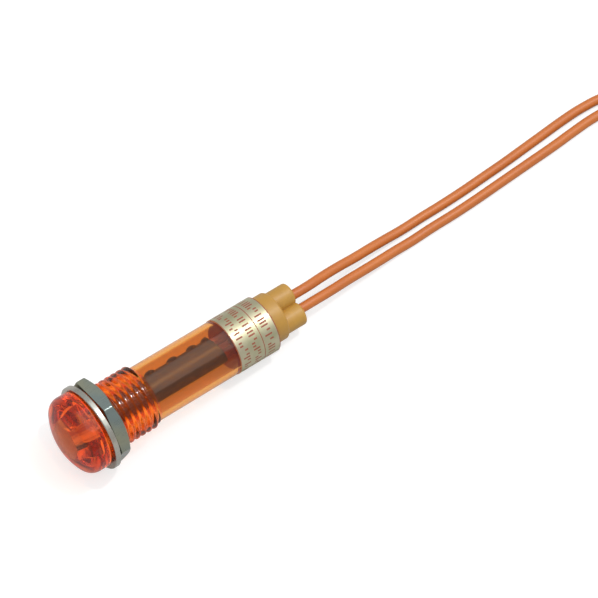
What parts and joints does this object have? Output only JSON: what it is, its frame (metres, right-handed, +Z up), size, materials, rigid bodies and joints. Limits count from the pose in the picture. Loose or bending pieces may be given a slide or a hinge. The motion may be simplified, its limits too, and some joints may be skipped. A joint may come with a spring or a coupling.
{
  "type": "panel pilot light",
  "caption": "Amber panel pilot light: domed lens moulded in one with its threaded barrel, hex nut and washer, rear plug and free wire leads; lies on its side.",
  "frame": {"origin": "on the surface the lamp lies on, below the middle of its length without the free leads", "axes": "+Y along the lamp from its dome to its plug, +Z up; the lamp's own axis dips 4.65 degrees to the rear because the washer is wider than the barrel"},
  "size_m": [0.0171, 0.1582, 0.0134],
  "materials": {
    "amber_polycarbonate": "clear amber polycarbonate, moulded glossy",
    "plated_washer": "nickel plated steel, stamped",
    "plated_nut": "nickel plated brass, turned",
    "tan_plastic": "tan nylon, moulded",
    "label_foil": "pale gold metallised film, satin",
    "shrink_sleeve": "dark shrunk polyolefin",
    "led_resin": "diffused epoxy",
    "tinned_lead": "tinned steel and copper",
    "semiconductor": "bare die",
    "resistor_enamel": "dipped enamel",
    "diode_resin": "black moulding resin",
    "solder": "bright solder",
    "strand_copper": "tinned copper strands",
    "lead_pvc": "orange PVC insulation, satin",
    "tie_paper": "white plastic covered tie"
  },
  "bodies": {
    "lamp": {"lens_body": "amber_polycarbonate", "rear_plug": "tan_plastic", "foil_label": "label_foil", "insulating_sleeve": "shrink_sleeve", "led_epoxy": "led_resin", "led_anode": "tinned_lead", "led_cathode": "tinned_lead", "led_die": "semiconductor", "resistor_body": "resistor_enamel", "resistor_lead_front": "tinned_lead", "resistor_lead_rear": "tinned_lead", "diode_body": "diode_resin", "diode_lead_front": "tinned_lead", "diode_lead_rear": "tinned_lead", "solder_anode": "solder", "solder_middle": "solder", "solder_wire_a": "solder", "solder_wire_b": "solder", "core_a": "strand_copper", "core_b": "strand_copper", "inner_lead_a": "lead_pvc", "inner_lead_b": "lead_pvc", "lead_wire_a": "lead_pvc", "lead_wire_b": "lead_pvc", "lead_bundle": "lead_pvc", "bundle_tie": "tie_paper", "bare_end_a": "strand_copper", "bare_end_b": "strand_copper"},
    "washer": {"washer": "plated_washer"},
    "nut": {"hex_nut": "plated_nut"}
  },
  "joints": [
    {"name": "washer_slide", "type": "slide", "parent": "lamp", "child": "washer", "axis": [0, 0.9967, -0.081], "range_m": [0, 0.006]},
    {"name": "nut_turn", "type": "hinge", "parent": "washer", "child": "nut", "pos_m": [0, -0.01399, 0.00673], "axis": [0, 0.9967, -0.081], "range_deg": [0, 2160]}
  ],
  "couplings": [
    {"joint": "nut_turn", "follows": "washer_slide", "rad_per_m": 6283.2}
  ]
}
